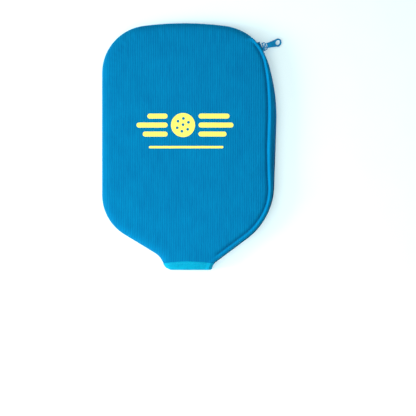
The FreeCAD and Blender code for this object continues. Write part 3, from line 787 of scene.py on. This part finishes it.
VIEW_CENTRE = Vector((0.0262, -0.08, 0.012))
VIEW_SPAN = 0.541
CAMERA_HEIGHT = 1.7

camera_data = bpy.data.cameras.new("camera")
camera = add_object("camera", camera_data)
camera.location = VIEW_CENTRE + Vector((0, 0, CAMERA_HEIGHT))
camera_data.lens = camera_data.sensor_width * CAMERA_HEIGHT / VIEW_SPAN
bpy.context.scene.camera = camera


def area_light(name, place, target, width, energy, shadow=True):
    """A round lamp; the one without a shadow keeps the zipper's recess from going black."""
    data = bpy.data.lights.new(name, "AREA")
    data.shape = "DISK"
    data.size = width
    data.energy = energy
    data.use_shadow = shadow
    light = add_object(name, data)
    light.location = place
    light.rotation_euler = (Vector(target) - Vector(place)).to_track_quat("-Z", "Y").to_euler()


WORLD_COLOUR = (0.93, 0.99, 1.0, 1)
WORLD_STRENGTH = 0.42

area_light("key", (-1.8, -0.25, 0.95), (0, 0, 0), 0.9, 25)
area_light("soft", (-0.6, -0.15, 2.1), (0, 0, 0), 1.6, 17)
area_light("fill", (-0.5, -0.8, 1.0), (0, -0.05, 0), 1.0, 13, shadow=False)
world = bpy.data.worlds.new("studio")
bpy.context.scene.world = world
world.use_nodes = True
background = world.node_tree.nodes["Background"]
background.inputs["Color"].default_value = WORLD_COLOUR
background.inputs["Strength"].default_value = WORLD_STRENGTH
bpy.context.scene.view_settings.view_transform = "Standard"

FLOOR_HALF = 4.0
FLOOR_DROP = 0.0002
FLOOR_DARK = (0.78, 0.94, 0.95)
FLOOR_LIGHT = (0.81, 0.97, 0.98)
floor_mesh = bpy.data.meshes.new("floor")
floor_mesh.from_pydata(
    [(x * FLOOR_HALF, y * FLOOR_HALF, -FLOOR_DROP) for x, y in ((-1, -1), (1, -1), (1, 1), (-1, 1))],
    [], [(0, 1, 2, 3)],
)
floor = add_object("floor", floor_mesh)
floor_paint = Shader("floor_paint", 0.6, Specular_IOR_Level=0.2)
floor_vector, _ = floor_paint.object_mm()
floor_tone = floor_paint.noise(floor_vector, 0.02)
floor_paint.colour(floor_paint.ramp(floor_tone, FLOOR_DARK, FLOOR_LIGHT))
floor_mesh.materials.append(floor_paint.material)
floor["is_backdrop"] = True

# ---- covers and linings ----

FRONT = (FRONT_SEAM, FRONT_ZIP)
FRONT_INNER = (FRONT_SEAM_INNER, FRONT_ZIP_INNER)
BACK = (BACK_SEAM, BACK_ZIP)
BACK_INNER = (BACK_SEAM_INNER, BACK_ZIP_INNER)
LINING_GAP = 0.05
LINING_THICKNESS = 0.6
MOUTH_TRIM = 0.6


def moved_pair(pair, distance):
    return tuple(offset_profile(profile, distance) for profile in pair)


def lining(pair):
    """The two faces of a lining, just inside a cover's inner face."""
    return moved_pair(pair, LINING_GAP), moved_pair(pair, LINING_GAP + LINING_THICKNESS)


def band_edge(x):
    """How far the band's arched edge lies from the mouth's end, in millimetres."""
    return BAND_CROWN - BAND_DROP * (x / BAND_HALF) ** 2


TAPER = 3.4
TAPER_HEIGHT = 13.0
CORNER_RISE = 2.3
CORNER_REACH = 5.6


def taper_mouth(bm):
    """The sewn side of the neck draws in towards the mouth, and its lower corner is blunt."""
    for vert in bm.verts:
        above = (vert.co.y - MOUTH_END) / MM
        below = 1 - above / TAPER_HEIGHT
        if below > 0 and vert.co.x < 0:
            vert.co.x += TAPER * MM * below ** 2 * min(1.0, -vert.co.x / (MOUTH_HALF * MM))
            out = (TAPER + CORNER_REACH - MOUTH_HALF - vert.co.x / MM) / CORNER_REACH
            rise = CORNER_RISE * min(1.0, max(0.0, out))
            vert.co.y += rise * MM * max(0.0, 1 - above / (2 * CORNER_RISE))


def cloth_shell(name, outer, inner, lift, material, slot, nodes):
    """A cover or a lining, which ends just inside the binding of the mouth."""
    bm = shell(outer, inner, lift)
    cut_flat(bm, (0, MOUTH_END + MOUTH_TRIM * MM), (0, 1))
    taper_mouth(bm)
    piece = dress(new_object(name, bm), material)
    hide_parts(*nodes)
    return piece


front_nodes = ("front_panel", "flap_panel")
front_cover = cloth_shell("front_cover", FRONT, FRONT_INNER, 1, PANEL_KNIT, "panel_knit", front_nodes)
blend_flap(front_cover)
lining_nodes = ("front_lining", "flap_lining")
front_liner = cloth_shell("front_liner", *lining(FRONT_INNER), 1, LINING_KNIT, "lining", lining_nodes)
blend_flap(front_liner)
back_cover = cloth_shell("back_cover", BACK, BACK_INNER, 0, PANEL_KNIT, "panel_knit", ("back_panel",))
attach(back_cover, "case")
back_liner = cloth_shell("back_liner", *lining(BACK_INNER), 0, LINING_KNIT, "lining", ("back_lining",))
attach(back_liner, "case")

# ---- binding of the mouth ----

BAND_PROUD = 0.55
BAND_INSIDE = 1.1
BAND_CROWN = 11.0
BAND_DROP = 4.2
BAND_HALF = 40.0
BAND_CUTS = range(-36, 37, 8)


def mouth_band(name, outer, inner, lift, nodes):
    """Elastic binding round the end of a panel, with an arched inner edge."""
    bm = shell(moved_pair(outer, -BAND_PROUD), moved_pair(inner, BAND_INSIDE), lift)
    cut_flat(bm, (0, MOUTH_END), (0, 1))
    for x in BAND_CUTS:
        slope = -2 * BAND_DROP * x / BAND_HALF ** 2
        cut_flat(bm, (x * MM, MOUTH_END + band_edge(x) * MM), (slope, -1))
    for vert in bm.verts:
        vert.co.z = max(vert.co.z, 0.0)
    taper_mouth(bm)
    piece = dress(new_object(name, bm), BINDING_KNIT)
    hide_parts(*nodes)
    return piece


band_nodes = ("mouth_band_flap", "mouth_band_fixed")
band_front = mouth_band("mouth_band_upper", FRONT, FRONT_INNER, 1, band_nodes)
blend_flap(band_front)
band_back = mouth_band("mouth_band_lower", BACK, BACK_INNER, 0, ("mouth_band_back",))
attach(band_back, "case")

# ---- zipper ----

TRACK = track_path(TRACK_SPACING, TRACK_OVERRUN)
TAPE_FRONT = (
    (3.05, 13.0), (3.05, 15.1), (3.9, 15.95), (7.4, 16.2),
    (7.4, 15.75), (4.2, 15.5), (3.5, 14.9), (3.5, 13.0),
)
TAPE_BACK = (
    (3.05, 11.0), (3.05, 9.2), (2.5, 8.4), (1.2, 8.25),
    (1.2, 7.85), (2.8, 7.95), (3.5, 8.8), (3.5, 11.0),
)
COIL_PITCH = 1.35
COIL_WIRE = 0.3
COIL_REACH = (0.62, 0.55)
COIL_INSET = 2.2
COIL_FRONT = 13.75
COIL_BACK = 10.25
COIL_LEAD = 2.4
COIL_HEAD = 0.18
TURN_POINTS = 10


def at_distance(samples, along):
    """A sample at a distance along a path, between its neighbours."""
    along = min(max(along, samples[0].along), samples[-1].along)
    high = bisect_right(samples, along, 1, len(samples) - 1, key=lambda sample: sample.along)
    a, b = samples[high - 1], samples[high]
    share = (along - a.along) / (b.along - a.along)
    return Sample(a.point.lerp(b.point, share), a.inward.lerp(b.inward, share).normalized(), along)


def zipper_tape(name, loop, node):
    bm = bmesh.new()
    sweep(bm, loop, TRACK)
    piece = dress(new_object(name, bm), TAPE_WEAVE)
    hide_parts(node)
    return piece


def zipper_coil(name, level, toward, node):
    """One row of nylon turns; each turn's head points at the other row."""
    bm = bmesh.new()
    turns = int((TRACK[-1].along - 2 * COIL_LEAD) / COIL_PITCH)
    points = []
    for i in range(turns * TURN_POINTS + 1):
        angle = 2 * math.pi * i / TURN_POINTS
        sample = at_distance(TRACK, COIL_LEAD + COIL_PITCH * i / TURN_POINTS)
        head = max(0.0, math.cos(angle)) ** 3 * COIL_HEAD
        height = level + toward * (math.cos(angle) * COIL_REACH[1] + head)
        points.append(sample.at(COIL_INSET + math.sin(angle) * COIL_REACH[0], height))
    tube(bm, points, COIL_WIRE * MM)
    piece = dress(new_object(name, bm, 80), COIL_NYLON)
    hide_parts(node)
    return piece


tape_front = zipper_tape("tape_front", TAPE_FRONT, "zipper_tape_front")
blend_flap(tape_front)
tape_back = zipper_tape("tape_back", TAPE_BACK, "zipper_tape_back")
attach(tape_back, "case")
coil_front = zipper_coil("coil_front", COIL_FRONT, -1, "zipper_coil_front")
blend_flap(coil_front)
coil_back = zipper_coil("coil_back", COIL_BACK, 1, "zipper_coil_back")
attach(coil_back, "case")

# ---- stitches ----

STITCH_PITCH = 3.3
STITCH_LENGTH = 2.6
THREAD_RADIUS = 0.27
THREAD_SIZES = (0.7, 1.0, 1.05, 1.0, 0.7)
THREAD_DIP = 0.35
THREAD_RISE = 0.12
DITCH_LEVEL = FRONT_ZIP[DITCH_RING][1]
DITCH_STITCH_START = 6
DITCH_STITCH_STOP = 12
MOUTH_STITCH_HALF = 24.0
MOUTH_STITCH_DROP = 2.2
MOUTH_STITCH_LIFT = 0.1


def stitch_row(name, places, material, node):
    """Short threads that dive into the cloth at both ends."""
    bm = bmesh.new()
    dip = Vector((0, 0, -THREAD_DIP * MM))
    rise = Vector((0, 0, THREAD_RISE * MM))
    for place, way in places:
        half = way * STITCH_LENGTH / 2 * MM
        start, end = place - half, place + half
        points = [start + dip, place - half * 0.8, place + rise, place + half * 0.8, end + dip]
        tube(bm, points, [THREAD_RADIUS * MM * size for size in THREAD_SIZES])
    piece = dress(new_object(name, bm, 80), material)
    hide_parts(node)
    blend_flap(piece)


places = []
distance = STEP_ALONG + DITCH_STITCH_START
last_y = MOUTH_END / MM + DITCH_STITCH_STOP
rim_end = max(s.along for s in RIM if s.point.y > last_y)
while distance < rim_end - 1:
    here = at_distance(RIM, distance)
    there = at_distance(RIM, distance + 0.5)
    inset = narrowed(FRONT_ZIP, distance)[DITCH_RING][0]
    spot = here.at(inset)
    lift = panel_lift(spot.x / MM, spot.y / MM, inset) + pucker(distance, inset)
    spot.z = (DITCH_LEVEL + lift + THREAD_RISE) * MM
    places.append((spot, (there.at(inset) - here.at(inset)).normalized()))
    distance += STITCH_PITCH
stitch_row("ditch_stitches", places, STITCH_THREAD, "topstitch_flap")

places = []
x = -MOUTH_STITCH_HALF
while x <= MOUTH_STITCH_HALF:
    y = MOUTH_END / MM + band_edge(x) - MOUTH_STITCH_DROP
    level = front_height(x, y) + BAND_PROUD + MOUTH_STITCH_LIFT
    way = Vector((1, -BAND_DROP * 2 * x / BAND_HALF ** 2, 0)).normalized()
    places.append((Vector((x * MM, y * MM, level * MM)), way))
    x += STITCH_PITCH
stitch_row("band_stitches", places, BAND_THREAD, "mouth_stitching")

# ---- print: a ball between bars of different length, over a plain rule ----

BALL = (-6.0, 27.0)
BALL_RADIUS = 15.5
HOLE_RADIUS = 1.9
BALL_HOLES = ((-6.5, 5), (0.5, 8.5), (7, 3.5), (-7.5, -3.5), (0, 0.5), (-1.5, -8), (6, -5.5))
BARS = (
    (-52, -26, 38.6, 6.4), (-66, -26, 27.0, 6.4), (-58, -26, 15.4, 6.4),
    (14, 54, 38.6, 6.4), (14, 59, 27.0, 6.4), (14, 50, 15.4, 6.4), (-50, 46, -1.5, 3.0),
)
FILM_TOP = 0.26
FILM_UNDER = -0.15
FILM_EDGE = 1.5
FILM_GRID = 2.2
FILM_MARGIN = 0.6
BAR_POINTS = 12


def round_bar(start, end, level, height):
    """Outline of a bar with round ends, with points all along its sides."""
    radius = height / 2
    points = []
    for centre, first in ((end - radius, -math.pi / 2), (start + radius, math.pi / 2)):
        last = first + math.pi
        points += arc_points((centre, level), radius, radius, first, last, BAR_POINTS)
        side = -1 if first < 0 else 1
        step = side * (end - start - height) / BAR_POINTS
        for k in range(1, BAR_POINTS):
            points.append(Vector((centre + step * k, level - side * radius)))
    return points


def film(bm, loop, holes):
    """A closed thin patch of print that follows the panel."""
    points = list(loop)
    faces_in = [list(range(len(loop)))]
    edges = ring_edges(0, len(loop))
    for hole in holes:
        first = len(points)
        points += hole
        edges += ring_edges(first, len(hole))
    low_x, high_x, low_y, high_y = extent(loop)
    y = low_y + FILM_EDGE
    while y < high_y:
        x = low_x + FILM_EDGE
        while x < high_x:
            point = Vector((x, y))
            near_hole = any(inside(point, hole, -FILM_MARGIN) for hole in holes)
            if inside(point, loop, FILM_MARGIN) and not near_hole:
                points.append(point)
            x += FILM_GRID
        y += FILM_GRID
    verts, _, faces = geometry.delaunay_2d_cdt(points, edges, faces_in, 1, 1e-5)[:3]
    top, under = [], []
    for side, lift in ((top, FILM_TOP), (under, FILM_UNDER)):
        for point in verts:
            level = front_height(point.x, point.y) + lift
            side.append(bm.verts.new((point.x * MM, point.y * MM, level * MM)))
    sides = {}
    for face in faces:
        middle = sum((verts[i] for i in face), Vector((0, 0))) / len(face)
        if any(inside(middle, hole, 0) for hole in holes):
            continue
        bm.faces.new([top[i] for i in face])
        bm.faces.new([under[i] for i in reversed(face)])
        sides.update(dict.fromkeys(zip(face, face[1:] + face[:1])))
    for a, b in sides:
        if (b, a) not in sides:
            bm.faces.new((top[b], top[a], under[a], under[b]))
    for vert in [v for v in bm.verts if not v.link_faces]:
        bm.verts.remove(vert)


def inside(point, loop, margin):
    """Whether a point lies in a loop, margin from its edge; a negative margin widens the loop."""
    crossing = False
    nearest = 1e9
    for a, b in zip(loop, loop[1:] + loop[:1]):
        if (a.y > point.y) != (b.y > point.y):
            if point.x < (b.x - a.x) * (point.y - a.y) / (b.y - a.y) + a.x:
                crossing = not crossing
        span = b - a
        share = min(1, max(0, (point - a).dot(span) / max(1e-9, span.length_squared)))
        nearest = min(nearest, (point - (a + span * share)).length)
    return crossing and nearest > margin if margin >= 0 else crossing or nearest < -margin


bm = bmesh.new()
for bar in BARS:
    film(bm, round_bar(*bar), [])
hole_places = [(BALL[0] + x, BALL[1] + y) for x, y in BALL_HOLES]
hole_loops = [oval(place, HOLE_RADIUS, HOLE_RADIUS, 20) for place in hole_places]
film(bm, oval(BALL, BALL_RADIUS, BALL_RADIUS, 72), hole_loops)
print_piece = dress(new_object("ball_print", bm), PRINT_FILM)
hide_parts("front_print", "flap_print")
blend_flap(print_piece)

# ---- slider and pull ----

TRACK_POINT = HINGE + Vector((math.cos(BAR_ANGLE), math.sin(BAR_ANGLE), 0)) * TRACK_RADIUS
SLIDER_PLACE = Matrix.Translation(TRACK_POINT) @ Matrix.Rotation(BAR_ANGLE, 4, "Z")
SLIDER_HALF = 5.4
LEAD_HALF = 3.4
TRAIL_HALF = 2.8
PLATE_ROWS = 13
PLATE_COLUMNS = 9
PLATE_ROUNDING = 0.34
OUTER_PLATE = (-0.3, 1.0, 0.25)
INNER_PLATE = (-5.9, -4.7, 0.0)
POST = ((-4.75, -5.1, -0.5), (-0.25, -2.9, 0.5))
FLANGE = ((-1.55, -4.3, 2.8), (-0.2, -0.5, 3.38))
SLIDER_SOFT = 0.28


def rounded_plate(bm, face_low, face_high, swell):
    """A slider plate: a soft-cornered kite, slightly domed on its outer side."""
    last_row, last_column = PLATE_ROWS - 1, PLATE_COLUMNS - 1
    grids = []
    for depth, dome in ((face_low, 0), (face_high, swell)):
        grid = []
        for i in range(PLATE_ROWS):
            t = -1 + 2 * i / last_row
            half = LEAD_HALF + (TRAIL_HALF - LEAD_HALF) * (t + 1) / 2
            half *= 1 - abs(t) ** 5 * PLATE_ROUNDING
            row = []
            for k in range(PLATE_COLUMNS):
                u = -1 + 2 * k / last_column
                out = depth + dome * (1 - t * t) * (1 - u * u)
                row.append(bm.verts.new(Vector((out, t * SLIDER_HALF, u * half)) * MM))
            grid.append(row)
        grids.append(grid)
    low, high = grids
    for i, k in product(range(last_row), range(last_column)):
        bm.faces.new((high[i][k], high[i + 1][k], high[i + 1][k + 1], high[i][k + 1]))
        bm.faces.new((low[i][k], low[i][k + 1], low[i + 1][k + 1], low[i + 1][k]))
    rim = [(i, 0) for i in range(last_row)] + [(last_row, k) for k in range(last_column)]
    rim += [(i, last_column) for i in range(last_row, 0, -1)]
    rim += [(0, k) for k in range(last_column, 0, -1)]
    for (i, k), (j, m) in zip(rim, rim[1:] + rim[:1]):
        bm.faces.new((low[i][k], low[j][m], high[j][m], high[i][k]))


def block(bm, low, high):
    """A box between two corners, in millimetres."""
    verts = [bm.verts.new(Vector(corner) * MM) for corner in product(*zip(low, high))]
    for face in ((0, 1, 3, 2), (4, 6, 7, 5), (0, 4, 5, 1), (2, 3, 7, 6), (0, 2, 6, 4), (1, 5, 7, 3)):
        bm.faces.new([verts[i] for i in face])


def soften(piece):
    """Rounds the edges of a small metal piece and applies it."""
    bevel = piece.modifiers.new("edges", "BEVEL")
    bevel.width = SLIDER_SOFT * MM
    bevel.segments = 3
    bevel.limit_method = "ANGLE"
    bevel.angle_limit = math.radians(35)
    mesh = evaluated_mesh(piece)
    piece.modifiers.clear()
    piece.data = mesh
    smooth(mesh, 50)
    return piece


bm = bmesh.new()
rounded_plate(bm, *OUTER_PLATE)
rounded_plate(bm, *INNER_PLATE)
block(bm, *POST)
for side in (-1, 1):
    low, high = sorted((side * FLANGE[0][2], side * FLANGE[1][2]))
    block(bm, (*FLANGE[0][:2], low), (*FLANGE[1][:2], high))
bm.transform(SLIDER_PLACE)
slider_piece = soften(new_object("zip_slider", bm))
dress(slider_piece, SLIDER_PAINT)
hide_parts("slider_body")
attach(slider_piece, "slider")

BRIDGE_OUT = (BAR - TRACK_POINT).length / MM
BRIDGE_HALF = 4.8
BRIDGE_BEND = 1.4
BRIDGE_FOOT = (0.7, 1.6)
BRIDGE_FOOT_SIZES = [0.95, 0.62]
BRIDGE_SIZE = 0.55
BEND_POINTS = 9

bridge_points = [Vector((out, -BRIDGE_HALF, 0)) for out in BRIDGE_FOOT]
for first, side in ((-math.pi / 2, -1), (0.0, 1)):
    centre = (BRIDGE_OUT - BRIDGE_BEND, side * (BRIDGE_HALF - BRIDGE_BEND))
    bend = arc_points(centre, BRIDGE_BEND, BRIDGE_BEND, first, first + math.pi / 2, BEND_POINTS - 1)
    bridge_points += [point.to_3d() for point in bend]
bridge_points += [Vector((out, BRIDGE_HALF, 0)) for out in BRIDGE_FOOT[::-1]]
bridge_sizes = BRIDGE_FOOT_SIZES + [BRIDGE_SIZE] * 2 * BEND_POINTS + BRIDGE_FOOT_SIZES[::-1]
bm = bmesh.new()
tube(bm, [p * MM for p in bridge_points], [r * MM for r in bridge_sizes], sides=14)
bm.transform(SLIDER_PLACE)
bridge_piece = dress(new_object("zip_bridge", bm, 60), SLIDER_PAINT)
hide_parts("slider_bridge")
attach(bridge_piece, "slider")

PULL_DROOP = math.radians(22.5)
PULL_ROLL = math.radians(25.0)
PULL_YAW = math.radians(-4.5)
PULL_PLACE = (
    Matrix.Translation(BAR) @ Matrix.Rotation(BAR_ANGLE + PULL_YAW, 4, "Z")
    @ Matrix.Rotation(PULL_DROOP, 4, "Y") @ Matrix.Rotation(PULL_ROLL, 4, "X")
)
PULL_END = 23.0
RING_RADIUS = 5.5
NECK_HALF = 4.9
RING_CENTRE = PULL_END - RING_RADIUS
HOLE_CENTRE = RING_CENTRE + 0.1
HOLE_RADII = (3.5, 3.3)
HOLE_POINTS = 36
HEAD_HALF, HEAD_BEVEL = 0.85, 0.3
ROOT_HALF, ROOT_BEVEL = 0.5, 0.2
SHANK = [(2.6, 3.45), (4.5, 3.65), (6.5, 3.8), (11.0, 4.4), (14.2, 4.82)]
ROOT_OUTLINE = [(-2.4, 2.3), (-2.1, 3.0), (-1.4, 3.45), (4.6, 3.45)]
EYE_OUTLINE = [(-1.35, 1.7), (-0.9, 2.3), (-0.3, 2.55), (0.6, 2.55), (1.2, 2.3), (1.9, 1.2)]
RIB_PATH = ((5.2, 0.75), (5.8, 1.0), (8.5, 1.06), (11.5, 1.0), (12.1, 0.75))
RIB_PLACES = (-1.5, 0.0, 1.5)
RIB_RADIUS = 0.34


def flat_solid(bm, name, loops, half_thickness, bevel):
    """A plate with a hole and rounded edges, from the loops of its outline and its hole."""
    data = bpy.data.curves.new(name, "CURVE")
    data.dimensions = "2D"
    data.fill_mode = "BOTH"
    data.extrude = (half_thickness - bevel) * MM
    data.bevel_depth = bevel * MM
    data.bevel_resolution = 2
    data.offset = -bevel * MM
    for loop in loops:
        spline = data.splines.new("POLY")
        spline.points.add(len(loop) - 1)
        for point, (x, y) in zip(spline.points, loop):
            point.co = (x * MM, y * MM, 0, 1)
        spline.use_cyclic_u = True
    carrier = add_object(name, data)
    mesh = evaluated_mesh(carrier)
    bpy.data.objects.remove(carrier)
    bm.from_mesh(mesh)
    bmesh.ops.remove_doubles(bm, verts=bm.verts, dist=1e-6)


def mirrored_outline(half):
    """A closed outline from its upper half, given from the root to the tip."""
    return half + [(x, -y) for x, y in reversed(half) if y > 1e-6]


neck_angle = math.pi - math.asin(NECK_HALF / RING_RADIUS)
head = arc_points((RING_CENTRE, 0), RING_RADIUS, RING_RADIUS, neck_angle, 0, 26)
ring_hole = oval((HOLE_CENTRE, 0), *HOLE_RADII, HOLE_POINTS)
root_loops = [mirrored_outline(ROOT_OUTLINE), mirrored_outline(EYE_OUTLINE)]
bm = bmesh.new()
flat_solid(bm, "pull_head", [mirrored_outline(SHANK + head), ring_hole], HEAD_HALF, HEAD_BEVEL)
flat_solid(bm, "pull_root", root_loops, ROOT_HALF, ROOT_BEVEL)
for side, across in product((-1, 1), RIB_PLACES):
    tube(bm, [Vector((x, across, side * h)) * MM for x, h in RIB_PATH], RIB_RADIUS * MM, sides=8)
bm.transform(PULL_PLACE)
pull_piece = dress(new_object("zip_pull", bm, 50), SLIDER_PAINT)
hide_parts("slider_pull")
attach(pull_piece, "pull")

# ---- CAD pieces that stay, in better materials ----


def redress(nodes, material):
    """Gives CAD pieces a material; their shape and slot stay."""
    for node in nodes:
        piece = frame["nodes"][node]
        piece.data.materials.clear()
        piece.data.materials.append(material)


redress(("mouth_stop_back", "mouth_stop_front", "zipper_top_stop"), COIL_NYLON)
redress(("seam_tape",), moulded("seam_tape_weave", (0.0, 0.06, 0.18), (0.0, 0.11, 0.29), 0.8))

low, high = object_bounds()
